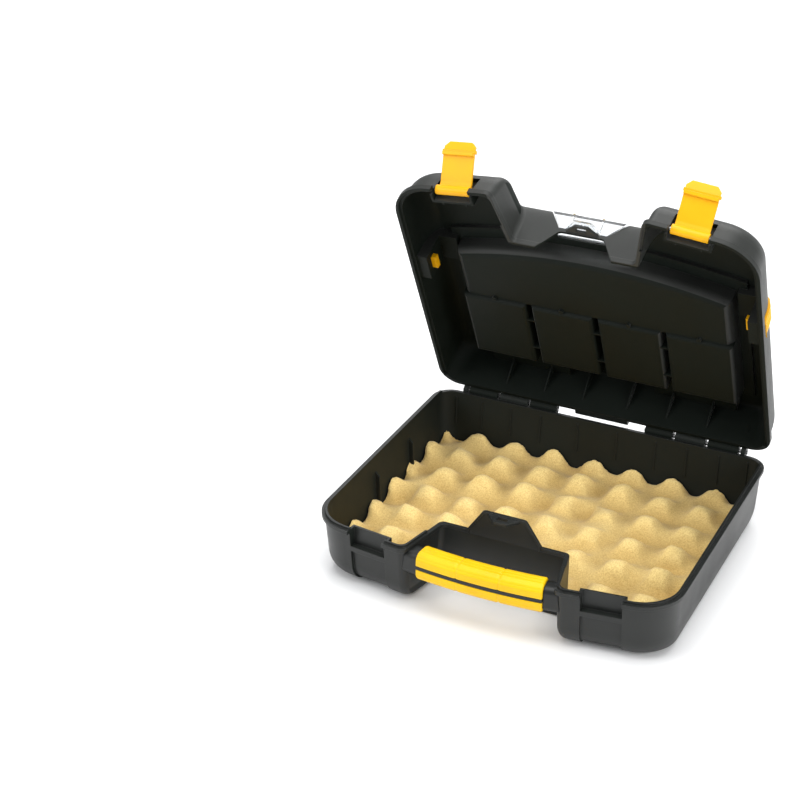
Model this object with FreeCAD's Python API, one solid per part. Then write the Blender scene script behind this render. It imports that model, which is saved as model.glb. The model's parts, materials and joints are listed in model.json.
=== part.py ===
import FreeCAD, Part
import math
import os

Vector = FreeCAD.Vector

# Case sizes, in millimetres
half_width = 194.0
half_depth = 167.0
base_height = 70.0
lid_height = 53.6
wall = 2.6
rim_gap = 0.4
flange = 3.8
flange_height = 4.0
lid_flange_height = 6.0
rim_ease = 7.0
lip_height = 2.4
lip_side_gap = 0.4
lip_head_gap = 0.8

# Plan of the case: slanted shoulder fronts with a handle recess between them
front_slant = 7.2
recess_front = 80.0
recess_back = 66.0
recess_depth = 66.0
back_corner = 16.0
front_corner = 40.0
shoulder_corner = 8.0
recess_corner = 6.0
recess_y = -half_depth + recess_depth

# Where the rim's lip stops short of the hinge and of the recess
lip_from_hinge = 12.0
lip_beside_recess = 9.0
lip_before_recess = 22.0
lip_behind_recess = 20.0

# Lid hinge: gaps between knuckles, from the open middle slot outwards
hinge_offset = 6.5
lid_open = 64.5
hinge_y = half_depth + hinge_offset
hinge_z = base_height
knuckle_radius = 5.5
knuckle_breaks = [51.0, 85.5, 122.7, 160.0, 168.0]
knuckle_gap = 3.0
web_root = 3.0
web_edge = 0.5
web_height = 15.0
pin_radius = 2.0
pin_margin = 2.0
run_fit = 0.08
press_fit = 0.02
slot_lip_half = 31.0
slot_lip_thick = 4.0

# Recess tongue and the stacked padlock tabs
tongue_rise = 26.0
tongue_foot = 40.5
tongue_top = 23.0
tongue_thick = 3.0
tongue_root = flange_height
tongue_round = 5.0
tongue_bead = [2.0, 1.0]
tongue_fit = 0.8
tongue_swing = 6.4
tab_thick = 3.0
tab_reach = 12.0
tab_root_half = 17.0
tab_tip_half = 7.0
tab_root = 2.0
tab_drop = 1.0
tab_gap = 0.8
lid_tab_reach = 9.5
lid_tab_root = 3.0
tab_slot = [11.0, 5.0]
tab_slot_set = 4.5
tab_slot_y = recess_y - tab_slot_set
eye_gap = 0.6
gate_low = tongue_rise + tongue_fit + tab_gap + tab_thick + eye_gap
gate_foot = 26.0
gate_top = 42.0
gate_front = 9.0
gate_fit = 1.0

# Latch channel in each shoulder, in a frame on the shoulder's rim line
latch_x = 125.6
channel_half = 20.5
channel_depth = 13.0
ridge_top = -20.0
ridge_bottom = -26.0
panel_depth = 3.0
panel_reach = 60.0
pocket_half = 21.0
pocket_depth = 16.0
pocket_height = 30.0
peg_x = 13.0
peg_size = [1.8, 4.0, 3.0]
peg_rise = 2.0

# Latch: barrel on a pin, plate with a hook under the ridge, ears and a lifted tip
latch_pivot = [8.5, 9.0]
latch_swing = 138.0
latch_pin_radius = 1.6
barrel_radius = 5.0
barrel_half = 19.0
plate_half = 17.5
plate_thick = 2.6
plate_face = 2.9
plate_neck = [1.1, 5.0]
ridge_fit = 0.4
hook_reach = 2.9
hook_height = 4.0
hook_ease = [1.0, 0.8]
tip_bend = 3.0
tip_length = 13.0
tip_edge = [2.2, 1.2]
tip_corner = 5.0
ear_over = 1.3
latch_ear = [2.5, 6.0]
latch_ear_rise = 1.2

# Handle across the recess, bowed outwards
handle_bow = 538.0
handle_set = 11.7
handle_y = -half_depth + handle_set
handle_z = 53.0
handle_sink = 17.0
handle_fit = 0.2
grip_half = 66.0
grip_size = [26.0, 32.0]
grip_round = 9.0
core_size = [18.0, 24.0]
core_round = 5.0
collar_size = [21.0, 27.0]
collar_round = 7.0
collar_gap = 0.6
grip_fit = 0.25
grip_split = 4.6
fin_inset = 0.4
fin_round = 0.6
grip_groove = 0.8

# Ribs inside the base
buttress_y = [-14.0, 68.0]
buttress_thick = 2.4
buttress_low = 2.0
buttress_foot = 5.0
buttress_taper = 2.0
buttress_top = 54.0
buttress_slope = 6.0
wall_rib_x = [-172.0, -140.0, -104.0, -68.0, -23.0, 23.0, 68.0, 104.0, 140.0, 172.0]
wall_rib_z = [30.0, 64.0]
wall_rib = [1.6, 0.8]

# Foam pad with waves both ways
foam_gap = 0.6
foam_low = 13.0
foam_high = 27.0
foam_pitch = 47.0
foam_shift = 20.0
foam_foot = 5.0

# Organiser set into the lid's outer face
block_x = [3.0, 73.0, 79.0, 152.0]
block_wall = 2.2
lower_y = [28.0, 124.0]
upper_y = [-36.0, 28.0]
arch_rise = 21.0
lower_depth = 32.0
upper_depth = 28.5
cell_round = 4.5
arch_round = 10.0
bridge_y = [52.0, 98.0]
bridge_thick = 1.6
bridge_inset = 0.8
seam_peg_radius = 2.6
seam_peg_set = 1.0
back_rib_x = [-118.0, -72.0, -26.0, 26.0, 72.0, 118.0]
back_rib_start = 8.0
back_rib_foot = 18.0
seat_drop = 4.4
cover_half = 160.0
cover_low_y = 131.0
cover_end_y = -46.0
cover_gap = 0.8
cover_thick = 2.0
cover_lift = 0.3
window_height = 5.0
window_y = 27.5
window_margin = 4.0
frame_inset = 2.0
frame_rise = 1.4
frame_width = 1.6
lid_face = base_height + rim_gap + lid_height
cover_z = lid_face - seat_drop + cover_lift

# Organiser cover hinge: two groups of legs on rods held by hooks on the lid
leg_x = [57.0, 83.0, 111.0, 137.0]
leg_thick = 2.4
leg_drop = 2.0
ring_x = [67.0, 97.0, 127.0]
ring_thick = 4.0
ring_wall = 1.8
ring_foot = 3.0
rod_radius = 1.8
rod_y = 150.0
rod_drop = 5.0
rod_z = lid_face - rod_drop
notch_x = [53.0, 141.0]
notch_y = [126.0, 157.0]
notch_depth = 10.0

# Hasp of the cover, over the padlock tabs
hasp_web = 2.5
hasp_set = 1.0
hasp_overlap = 4.5
hasp_lift = 0.4
hasp_hole = 3.2
eye_margin = 2.0
hasp_rib_x = 16.0
hasp_rib = [2.0, 3.0]

# Side clips on the cover's ears, in channels of the lid's sides
clip_y = [-33.8, -14.2]
clip_in = 22.0
clip_drop = 5.5
clip_x = half_width - clip_in
clip_z = lid_face - clip_drop
clip_barrel = 3.6
clip_pin_radius = 1.3
cover_ear_thick = 2.2
cover_ear_gap = 0.4
channel_y = [-38.0, -10.0]
channel_lap = 2.0
channel_start = cover_half - channel_lap
channel_in = 15.5
channel_x = half_width - channel_in
channel_floor = 11.5
channel_foot = 9.0
catch_low = 14.0
catch_rise = 23.0
catch_root = 1.0
catch_reach = 1.4
catch_thick = 2.0
catch_margin = 1.0
clip_hook = [16.0, 21.6]
clip_hook_fit = 0.5
clip_hook_reach = 5.0

# Clip profile: distance out from the pivot and height, from the face end down and back up
clip_outer_top = [(0.0, 1.5), (8.0, 2.6), (14.5, 7.6)]
clip_outer_low = [(18.0, 38.0), (19.0, 28.0), (19.4, 17.0), (21.2, 12.5)]
clip_inner_low = [(18.6, 12.5), (16.4, 16.0), (15.9, 28.0), (15.0, 37.0)]
clip_inner_top = [(12.0, 10.0), (6.6, 6.0), (0.0, 5.6)]

# Small feet on the lid's hinge side, for standing on edge
foot_x = 162.0
foot_thick = 3.0
foot_root = 5.0
foot_reach = 7.0
foot_rise = [18.0, 24.0, 34.0]

# Edge order round the plan: back, side, front, recess side, recess rear, then mirrored
base_flange = [1.5, flange, flange, 2.0, 1.0]
base_draft = [0.06, 0.04, 0.10, 0.02, -0.16]
base_round = [6.0, 6.0, 24.0, 10.0, 5.0]
lid_flange = [1.5, flange, flange, 2.0, 1.0]
lid_draft = [0.03, 0.03, 0.20, 0.02, 0.0]
lid_round = [8.0, 14.0, 30.0, 12.0, 4.0]
flush = [0.0] * 5
least_round = 1.0

# The tongue's face is level with the recess wall just under the rim's bead
tongue_set = base_flange[4] + base_draft[4] * flange_height

# Angles of the sections through the rounded far face of a tray, from its wall to its flat
cap_angles = [90, 75, 60, 45, 30, 18, 9, 4, 0]

# Two faces nearer than this count as level
level = 0.01

# Cutting shapes run this far past a face, out of a side, and right through the case
past = 1.0
out = 9.0
through = 2 * (half_width + half_depth)


def plan_lines():
    slant = math.radians(front_slant)
    run = math.hypot(recess_front - recess_back, recess_depth)
    side_x = recess_depth / run
    side_y = -(recess_front - recess_back) / run
    front_n = (math.sin(slant), -math.cos(slant))
    corner = (recess_front, -half_depth)
    return [
        ((0.0, half_depth), (0.0, 1.0)),
        ((-half_width, 0.0), (-1.0, 0.0)),
        ((-corner[0], corner[1]), (-front_n[0], front_n[1])),
        ((-corner[0], corner[1]), (side_x, side_y)),
        ((0.0, recess_y), (0.0, -1.0)),
        (corner, (-side_x, side_y)),
        (corner, front_n),
        ((half_width, 0.0), (1.0, 0.0)),
    ]


def cross_point(one, two):
    (px, py), (nx, ny) = one
    (qx, qy), (mx, my) = two
    c = nx * px + ny * py
    d = mx * qx + my * qy
    det = nx * my - ny * mx
    return ((c * my - d * ny) / det, (nx * d - mx * c) / det)


def full(values):
    return values + values[3:0:-1]


def rounded_wire(points, radii, z):
    # closed outline of lines joined by tangent arcs
    count = len(points)
    edges = []
    starts = []
    ends = []
    mids = []
    for i in range(count):
        before = points[i - 1]
        here = points[i]
        after = points[(i + 1) % count]
        a = Vector(here[0] - before[0], here[1] - before[1], 0).normalize()
        b = Vector(after[0] - here[0], after[1] - here[1], 0).normalize()
        turn = math.acos(max(-1.0, min(1.0, a.dot(b))))
        reach = radii[i] * math.tan(turn / 2)
        corner = Vector(here[0], here[1], z)
        inward = (b - a).normalize()
        middle = radii[i] / math.cos(turn / 2) - radii[i]
        starts.append(corner - a * reach)
        ends.append(corner + b * reach)
        mids.append(corner + inward * middle)
    for i in range(count):
        edges.append(Part.Arc(starts[i], mids[i], ends[i]).toShape())
        edges.append(Part.LineSegment(ends[i], starts[(i + 1) % count]).toShape())
    return Part.Wire(edges)


def section(insets, z, ease=0.0):
    # plan of the case with each edge set in, its outer corners eased by a larger radius
    lines = []
    for (point, normal), inset in zip(plan_lines(), full(insets)):
        lines.append(((point[0] - normal[0] * inset, point[1] - normal[1] * inset), normal))
    points = [cross_point(lines[i], lines[(i + 1) % 8]) for i in range(8)]
    radii = [back_corner + ease, front_corner + ease, shoulder_corner, recess_corner]
    radii = radii + radii[::-1]
    return rounded_wire(points, radii, z)


def shell_insets(flanges, drafts, rounds, depth_from_rim, height, extra):
    # inset of each edge at a distance from the rim, with the rounding at the far face
    insets = []
    knee = max(rounds) - extra
    left = height - extra - depth_from_rim
    rise = max(0.0, 1.0 - left / knee)
    for f, d, r in zip(flanges, drafts, rounds):
        r = max(r - extra, least_round)
        insets.append(f + d * depth_from_rim + extra + r * (1.0 - math.sqrt(max(0.0, 1.0 - rise * rise))))
    return insets


def tray(flanges, drafts, rounds, height, extra, sign, rim_z, over=0.0):
    # a drafted tray volume growing from the rim towards its far face
    far = height - extra
    deepest = max(rounds) - extra
    knee = far - deepest

    def wire(depth):
        insets = shell_insets(flanges, drafts, rounds, depth, height, extra)
        return section(insets, rim_z + sign * depth)

    walls = Part.makeLoft([wire(-over), wire(knee)], True, True)
    steps = [deepest * (1 - math.cos(math.radians(a))) for a in cap_angles]
    cap = Part.makeLoft([wire(far - s) for s in steps], True, False)
    return walls.fuse(cap)


def prism(insets, z, height, ease=0.0):
    return Part.Face(section(insets, z, ease)).extrude(Vector(0, 0, height))


def box(x0, x1, y0, y1, z0, z1):
    return Part.makeBox(x1 - x0, y1 - y0, z1 - z0, Vector(x0, y0, z0))


def join(shapes):
    return shapes[0].multiFuse(shapes[1:])


def poly_prism(points, axis, start, length):
    # polygon in the plane across an axis, pushed along that axis
    if axis == "x":
        path = [Vector(start, a, b) for a, b in points]
        push = Vector(length, 0, 0)
    elif axis == "y":
        path = [Vector(a, start, b) for a, b in points]
        push = Vector(0, length, 0)
    else:
        path = [Vector(a, b, start) for a, b in points]
        push = Vector(0, 0, length)
    return Part.Face(Part.makePolygon(path + path[:1])).extrude(push)


def rod(radius, start, end):
    way = end - start
    return Part.makeCylinder(radius, way.Length, start, way)


def mirrored(shape, side):
    if side < 0:
        return shape.mirror(Vector(0, 0, 0), Vector(1, 0, 0))
    return shape


def at_shoulder(shape, side):
    # from the shoulder frame (x along the wall, y inwards, z from the rim) to the case
    lean = math.tan(math.radians(front_slant))
    moved = shape.copy()
    moved.rotate(Vector(0, 0, 0), Vector(0, 0, 1), side * front_slant)
    moved.translate(Vector(side * latch_x, -half_depth + (latch_x - recess_front) * lean, base_height))
    return moved


def opened(shape):
    moved = shape.copy()
    moved.rotate(Vector(0, hinge_y, hinge_z), Vector(1, 0, 0), -lid_open)
    return moved


def knuckles(first, side, rise):
    # every second knuckle with its web, starting from the inner or the next one
    shapes = []
    root_y = half_depth - web_root
    for i in range(first, len(knuckle_breaks) - 1, 2):
        a = knuckle_breaks[i] + knuckle_gap / 2
        b = knuckle_breaks[i + 1] - knuckle_gap / 2
        barrel = rod(knuckle_radius, Vector(side * a, hinge_y, hinge_z), Vector(side * b, hinge_y, hinge_z))
        low, high = sorted([side * a, side * b])
        profile = [
            (root_y, hinge_z + rise * rim_gap),
            (hinge_y, hinge_z + rise * rim_gap),
            (hinge_y + knuckle_radius, hinge_z + rise * web_edge),
            (root_y, hinge_z + rise * web_height),
        ]
        web = poly_prism(profile, "x", low, high - low)
        shapes += [barrel, web]
    return shapes


def hinge_bore(side, radius):
    ends = [side * (knuckle_breaks[0] - pin_margin), side * (knuckle_breaks[-1] + pin_margin)]
    return rod(radius, Vector(ends[0], hinge_y, hinge_z), Vector(ends[1], hinge_y, hinge_z))


def make_hinge_pin(side):
    ends = [side * knuckle_breaks[0], side * knuckle_breaks[-1]]
    return rod(pin_radius, Vector(ends[0], hinge_y, hinge_z), Vector(ends[1], hinge_y, hinge_z))


def slot_lip():
    # lip of the lid that narrows the open middle of the hinge
    z = base_height + rim_gap
    return box(-slot_lip_half, slot_lip_half, half_depth - web_root, hinge_y, z, z + slot_lip_thick)


def base_tray(extra, front_extra=0.0, over=0.0):
    flanges = list(base_flange)
    flanges[2] += front_extra
    return tray(flanges, base_draft, base_round, base_height, extra, -1, base_height, over)


def lid_tray(extra, over=0.0):
    return tray(lid_flange, lid_draft, lid_round, lid_height, extra, 1, base_height + rim_gap, over)


def channel_notch(grow):
    half = channel_half + grow
    return box(-half, half, -out, channel_depth + grow, ridge_top - grow, out)


def channel_panel(grow):
    half = channel_half + grow
    return box(-half, half, -out, panel_reach, -base_height - past, ridge_bottom + grow)


def rim_band(near, far, z0, z1, margin):
    # band round the rim, left out along the hinge and the rear of the recess
    band = prism([f + near for f in base_flange], z0, z1 - z0)
    band = band.cut(prism([f + far for f in base_flange], z0 - past, z1 - z0 + 2 * past))
    reach = recess_back + lip_beside_recess + margin
    hinge_side = half_depth - lip_from_hinge - margin
    front = recess_y - lip_before_recess - margin
    band = band.cut(box(-half_width, half_width, hinge_side, half_depth, 0.0, through))
    return band.cut(box(-reach, reach, front, recess_y + lip_behind_recess, 0.0, through))


def tab_plate(z, root_y, reach):
    # tapered plate over the recess with a slot for a lock
    tip = recess_y - reach
    root, end = tab_root_half, tab_tip_half
    plate = poly_prism([(-root, root_y), (-root, recess_y), (-end, tip), (end, tip), (root, recess_y),
                        (root, root_y)], "z", z, tab_thick)
    half = [size / 2 for size in tab_slot]
    return plate.cut(box(-half[0], half[0], tab_slot_y - half[1], tab_slot_y + half[1],
                         z - past, z + tab_thick + past))


def gate(grow, y0, y1, low, high):
    # opening of the lid over the tongue, wider towards the outer face, or the hasp that fills it
    def half(z):
        share = (z - base_height - gate_low) / (lid_height - gate_low)
        return gate_foot + (gate_top - gate_foot) * share + grow

    profile = [(-half(low), low), (-half(high), high), (half(high), high), (half(low), low)]
    return poly_prism(profile, "y", y0, y1 - y0)


def tongue(grow, start, length):
    # upright plate with rounded shoulders, from a distance in front of its face
    foot = tongue_foot + grow
    end = tongue_top + grow
    root = base_height - tongue_root
    top = base_height + tongue_rise + grow
    points = [(-foot, root), (foot, root), (foot, base_height), (end, top), (-end, top), (-foot, base_height)]
    radius = tongue_round + grow
    face = Part.Face(rounded_wire(points, [least_round, least_round, radius, radius, radius, radius], 0.0))
    face.rotate(Vector(0, 0, 0), Vector(1, 0, 0), 90)
    face.translate(Vector(0, recess_y + tongue_set - start, 0))
    return face.extrude(Vector(0, length, 0))


def beaded_tongue():
    # the tongue with a bead round its face, which carries the rim's bead over it
    proud = tongue_bead[1]
    return tongue(0.0, proud, tongue_thick + proud).cut(tongue_panel())


def tongue_panel():
    # the sunk face inside the tongue's bead
    width, proud = tongue_bead
    return tongue(-width, proud + past, proud + past)


def tongue_room():
    # the room that the lid leaves round the tongue as it swings, placed from the rim's bead
    start = tongue_swing + tongue_set - base_flange[4]
    return tongue(tongue_fit, start, tongue_thick + 2 * tongue_swing)


def side_ribs():
    # tapered buttresses on the inner side walls
    shapes = []
    edge = half_width - base_flange[1] - base_draft[1] * base_height - wall
    for side in (-1, 1):
        for y in buttress_y:
            profile = [(side * (edge + wall), buttress_low), (side * (edge - buttress_foot), buttress_low),
                       (side * (edge - buttress_foot + buttress_taper), buttress_top - buttress_slope),
                       (side * (edge + wall), buttress_top)]
            shapes.append(poly_prism(profile, "y", y - buttress_thick / 2, buttress_thick))
    return shapes


def wall_ribs():
    # shallow upright ribs on the inner hinge-side wall
    def edge(z):
        return half_depth - base_flange[0] - base_draft[0] * (base_height - z) - wall

    thick, rise = wall_rib
    low, high = wall_rib_z
    profile = [(edge(low) + wall / 2, low), (edge(low) - rise, low), (edge(high) - rise, high),
               (edge(high) + wall / 2, high)]
    return [poly_prism(profile, "x", x - thick / 2, thick) for x in wall_rib_x]


def make_base_shell():
    outer = base_tray(0.0)
    ring = prism(flush, base_height - flange_height, flange_height, rim_ease)
    cavity = base_tray(wall, 0.0, out)
    for rib in side_ribs() + wall_ribs():
        cavity = cavity.cut(rib)
    cuts = []
    for side in (-1, 1):
        cavity = cavity.cut(at_shoulder(channel_notch(wall), side))
        panel_wall = at_shoulder(channel_panel(wall), side).cut(base_tray(0.0, panel_depth + wall))
        cavity = cavity.cut(panel_wall)
        cuts.append(at_shoulder(channel_notch(0.0), side))
        cuts.append(at_shoulder(channel_panel(0.0), side).cut(base_tray(0.0, panel_depth)))
    lip = rim_band(lip_side_gap, wall, base_height - past, base_height + lip_height, past)
    shell = join([outer, ring, lip]).cut(cavity)
    for cut in cuts:
        shell = shell.cut(cut)
    shell = join([shell, beaded_tongue()]).cut(tongue_panel())
    tab_z = base_height + tongue_rise - tab_thick - tab_drop
    extra = [tab_plate(tab_z, recess_y + tab_root, tab_reach)]
    for side in (-1, 1):
        extra += knuckles(1, side, -1)
    shell = join([shell] + extra)
    for side in (-1, 1):
        shell = shell.cut(hinge_bore(side, pin_radius + press_fit))
    return shell


def bow_bar(size, corner, half):
    # rounded section swept along the bowed line of the handle
    a = size[0] / 2
    b = size[1] / 2
    face = Part.Face(rounded_wire([(-a, -b), (a, -b), (a, b), (-a, b)], [corner] * 4, 0.0))
    face.rotate(Vector(0, 0, 0), Vector(1, 1, 1), 120)
    face.translate(Vector(0, handle_y, handle_z))
    pole = Vector(0, handle_y + handle_bow, 0)
    swing = math.degrees(math.asin(half / handle_bow))
    face.rotate(pole, Vector(0, 0, 1), -swing)
    return face.revolve(pole, Vector(0, 0, 1), 2 * swing)


def make_handle_bar():
    # core with a fin between the grip halves and a thicker collar at each end
    half = recess_front + handle_sink
    fin_size = [grip_size[0] - 2 * fin_inset, grip_split - 2 * grip_fit]
    fin = bow_bar(fin_size, fin_round, grip_half)
    sleeve = [size + past for size in grip_size]
    collars = bow_bar(collar_size, collar_round, half)
    collars = collars.cut(bow_bar(sleeve, grip_round, grip_half + collar_gap))
    bar = join([bow_bar(core_size, core_round, half), fin, collars])
    ring_z = base_height - flange_height - handle_fit
    bar = bar.cut(prism([-handle_fit] * 5, ring_z, through, rim_ease))
    return bar.cut(base_tray(-handle_fit))


def make_grip(side):
    # half of the sleeve round the core, with two shallow grooves across it
    hollow = [size + 2 * grip_fit for size in core_size]
    grip = bow_bar(grip_size, grip_round, grip_half)
    grip = grip.cut(bow_bar(hollow, core_round + grip_fit, grip_half + past))
    edge = handle_z + side * grip_split / 2
    low, high = sorted([edge, edge - side * through])
    grip = grip.cut(box(-through, through, -through, 0.0, low, high))
    top = handle_z + side * grip_size[1] / 2
    for x in (-grip_half / 3, grip_half / 3):
        start = Vector(x, handle_y - grip_size[0], top)
        grip = grip.cut(rod(grip_groove, start, Vector(x, handle_y + grip_size[0], top)))
    return grip


def wave_wall(half, low, high, pitch):
    # closed outline whose top edge is a row of joined arcs, crest in the middle
    mid = (low + high) / 2
    swing = (high - low) / 2
    step = pitch / 2
    count = 4 * math.ceil(half / pitch) + 1
    x = -count * step / 2
    sign = 1 if (count // 2) % 2 == 0 else -1
    edges = []
    first = Vector(x, 0, mid)
    for i in range(count):
        a = Vector(x, 0, mid)
        b = Vector(x + step, 0, mid)
        edges.append(Part.Arc(a, Vector(x + step / 2, 0, mid + sign * swing), b).toShape())
        x += step
        sign = -sign
    last = Vector(x, 0, mid)
    foot = [Vector(x, 0, -foam_foot), Vector(first.x, 0, -foam_foot)]
    edges.append(Part.LineSegment(last, foot[0]).toShape())
    edges.append(Part.LineSegment(foot[0], foot[1]).toShape())
    edges.append(Part.LineSegment(foot[1], first).toShape())
    return Part.Face(Part.Wire(edges))


def grown_box(shape, gap):
    b = shape.BoundBox
    return box(b.XMin - gap, b.XMax + gap, b.YMin - gap, b.YMax + gap, b.ZMin - gap, b.ZMax + gap)


def make_foam_pad():
    block = base_tray(wall + foam_gap, panel_depth)
    for rib in side_ribs():
        block = block.cut(grown_box(rib, foam_gap))
    reach = half_width + foam_pitch
    long_way = wave_wall(reach, foam_low, foam_high, foam_pitch)
    long_way.translate(Vector(0, -reach, 0))
    across = wave_wall(reach, foam_low, foam_high, foam_pitch)
    across.rotate(Vector(0, 0, 0), Vector(0, 0, 1), 90)
    across.translate(Vector(-reach, foam_shift, 0))
    block = block.common(long_way.extrude(Vector(0, 2 * reach, 0)))
    return block.common(across.extrude(Vector(2 * reach, 0, 0)))


def latch_pocket(grow):
    half = pocket_half + grow
    return box(-half, half, -out, pocket_depth + grow, -past, pocket_height + grow)


def pocket_pegs():
    # two small ribs behind each latch pocket
    width, length, height = peg_size
    start = pocket_depth + wall / 2
    end = pocket_depth + wall + length
    shapes = []
    for x in (-peg_x, peg_x):
        shapes.append(box(x - width / 2, x + width / 2, start, end, peg_rise, peg_rise + height))
    return shapes


def arch_face(half, low_y, end_y, rise, z, grow=0.0):
    # plan with three straight edges and an arched far edge
    a = Vector(-half - grow, low_y + grow, z)
    b = Vector(half + grow, low_y + grow, z)
    c = Vector(half + grow, end_y - grow, z)
    d = Vector(-half - grow, end_y - grow, z)
    mid = Vector(0, end_y - rise - grow, z)
    edges = [
        Part.LineSegment(a, b).toShape(),
        Part.LineSegment(b, c).toShape(),
        Part.Arc(c, mid, d).toShape(),
        Part.LineSegment(d, a).toShape(),
    ]
    return Part.Face(Part.Wire(edges))


def arch_block(half, low_y, end_y, rise, z0, z1, grow=0.0):
    return arch_face(half, low_y, end_y, rise, z0, grow).extrude(Vector(0, 0, z1 - z0))


def rounded_floor(block, radius, skip_y=None):
    # rounds the edges of a block's inner face, but not the one that lies along skip_y
    low = block.BoundBox.ZMin
    edges = []
    for edge in block.Edges:
        b = edge.BoundBox
        flat = b.ZMax - low < level
        skipped = skip_y is not None and abs(b.YMin - skip_y) + abs(b.YMax - skip_y) < level
        if flat and not skipped:
            edges.append(edge)
    return block.makeFillet(radius, edges)


def organiser_blocks(grow):
    # the compartments as they stand inside the lid, shrunk by a wall for their hollows
    shapes = []
    low = lid_face - lower_depth - grow
    for side in (-1, 1):
        for i in (0, 2):
            x0, x1 = sorted([side * block_x[i], side * block_x[i + 1]])
            cell = box(x0 - grow, x1 + grow, lower_y[0] - grow, lower_y[1] + grow, low, lid_face + past)
            shapes.append(rounded_floor(cell, cell_round + grow))
    deep = lid_face - upper_depth - grow
    long_cell = arch_block(block_x[3], upper_y[1], upper_y[0], arch_rise, deep, lid_face + past, grow)
    shapes.append(rounded_floor(long_cell, arch_round + grow, upper_y[1] + grow))
    return shapes


def groove_bridges():
    # thin webs across the grooves between the lower compartments
    shapes = []
    reach = block_x[0] + cell_round
    low = lid_face - lower_depth + bridge_inset
    for x in (-(block_x[1] + block_x[2]) / 2, 0.0, (block_x[1] + block_x[2]) / 2):
        for y in bridge_y:
            shapes.append(box(x - reach, x + reach, y - bridge_thick / 2, y + bridge_thick / 2,
                              low, lid_face - seat_drop))
    return shapes


def seam_pegs():
    # small round bosses where the long compartment meets each cell
    shapes = []
    y = lower_y[0] - seam_peg_set
    low = lid_face - lower_depth + bridge_inset
    for side in (-1, 1):
        for i in (0, 2):
            x = side * (block_x[i] + block_x[i + 1]) / 2
            shapes.append(rod(seam_peg_radius, Vector(x, y, low), Vector(x, y, lid_face - upper_depth + past)))
    return shapes


def back_ribs():
    # thin gussets along the hinge side of the lid
    shapes = []
    y0 = half_depth - lid_flange[0] - wall / 2
    top = lid_face - wall / 2
    profile = [(y0, base_height + back_rib_start), (y0, top), (y0 - back_rib_foot, top)]
    for x in back_rib_x:
        shapes.append(poly_prism(profile, "x", x - bridge_thick / 2, bridge_thick))
    return shapes


def cover_seat(grow):
    z = lid_face - seat_drop - grow
    return arch_block(cover_half, cover_low_y, cover_end_y, arch_rise, z, lid_face + past, cover_gap + grow)


def hinge_notch(side, grow):
    x0, x1 = sorted([side * notch_x[0], side * notch_x[1]])
    return box(x0 - grow, x1 + grow, notch_y[0] - grow, notch_y[1] + grow,
               lid_face - notch_depth - grow, lid_face + past)


def clip_channel(side, grow):
    y0, y1 = channel_y[0] - grow, channel_y[1] + grow
    upper = box(channel_start - grow, half_width + out, y0, y1, lid_face - channel_floor - grow, lid_face + past)
    lower = box(channel_x - grow, half_width + out, y0, y1, base_height + channel_foot - grow, lid_face + past)
    return mirrored(upper.fuse(lower), side)


def clip_catch(side):
    # ledge over the clip's hook
    z = base_height + catch_rise
    ledge = box(channel_x - catch_root, channel_x + catch_reach, clip_y[0], clip_y[1], z, z + catch_thick)
    return mirrored(ledge, side)


def clip_window(side):
    # slot in the channel's inner wall that the clip's hook reaches through
    window = box(channel_x - wall - past, channel_x + lip_side_gap, clip_y[0] + catch_margin,
                 clip_y[1] - catch_margin, base_height + catch_low, base_height + catch_rise)
    return mirrored(window, side)


def cover_ring(x, radius, thick):
    start = Vector(x - thick / 2, rod_y, rod_z)
    return rod(radius, start, start + Vector(thick, 0, 0))


def lid_foot(side):
    x = side * foot_x
    root = half_depth - foot_root
    profile = [(root, base_height + foot_rise[0]), (half_depth + foot_reach, base_height + foot_rise[1]),
               (root, base_height + foot_rise[2])]
    return poly_prism(profile, "x", x - foot_thick / 2, foot_thick)


def latch_axle(radius):
    half = pocket_half + wall
    y, z = latch_pivot
    return rod(radius, Vector(-half, y, z), Vector(half, y, z))


def make_lid_shell():
    outer = lid_tray(0.0)
    rim = prism(flush, base_height + rim_gap, lid_flange_height, rim_ease)
    cavity = lid_tray(wall, out)
    relief_top = base_height + lip_height + lip_head_gap
    relief = rim_band(0.0, wall + past, base_height - past, relief_top, 0.0)
    keep = organiser_blocks(0.0) + groove_bridges() + seam_pegs() + back_ribs() + [cover_seat(wall)]
    cuts = organiser_blocks(-block_wall) + [cover_seat(0.0), relief, tongue_room()]
    nose_y = cover_end_y - arch_rise
    cuts.append(gate(0.0, recess_y - gate_front, nose_y + past, base_height + gate_low, lid_face + past))
    tab_z = base_height + tongue_rise + tongue_fit + tab_gap
    extra = [tab_plate(tab_z, recess_y + lid_tab_root, lid_tab_reach), slot_lip()]
    holes = []
    for side in (-1, 1):
        keep += [at_shoulder(latch_pocket(wall), side), hinge_notch(side, wall), clip_channel(side, wall)]
        keep += [at_shoulder(peg, side) for peg in pocket_pegs()]
        cuts += [at_shoulder(latch_pocket(0.0), side), hinge_notch(side, 0.0), clip_channel(side, 0.0)]
        extra += knuckles(0, side, 1) + [lid_foot(side), clip_catch(side)]
        for x in ring_x:
            x0 = side * x - ring_thick / 2
            extra.append(box(x0, x0 + ring_thick, rod_y - ring_foot, rod_y + ring_foot,
                             lid_face - notch_depth - past, rod_z))
            extra.append(cover_ring(side * x, rod_radius + ring_wall, ring_thick))
            holes.append(cover_ring(side * x, rod_radius + run_fit, ring_thick + 2 * past))
        holes.append(hinge_bore(side, pin_radius + run_fit))
        holes.append(at_shoulder(latch_axle(latch_pin_radius + press_fit), side))
        holes.append(clip_window(side))
    for shape in keep:
        cavity = cavity.cut(shape)
    shell = outer.fuse(rim).cut(cavity)
    for shape in cuts:
        shell = shell.cut(shape)
    shell = join([shell] + extra)
    for shape in holes:
        shell = shell.cut(shape)
    return shell


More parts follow.
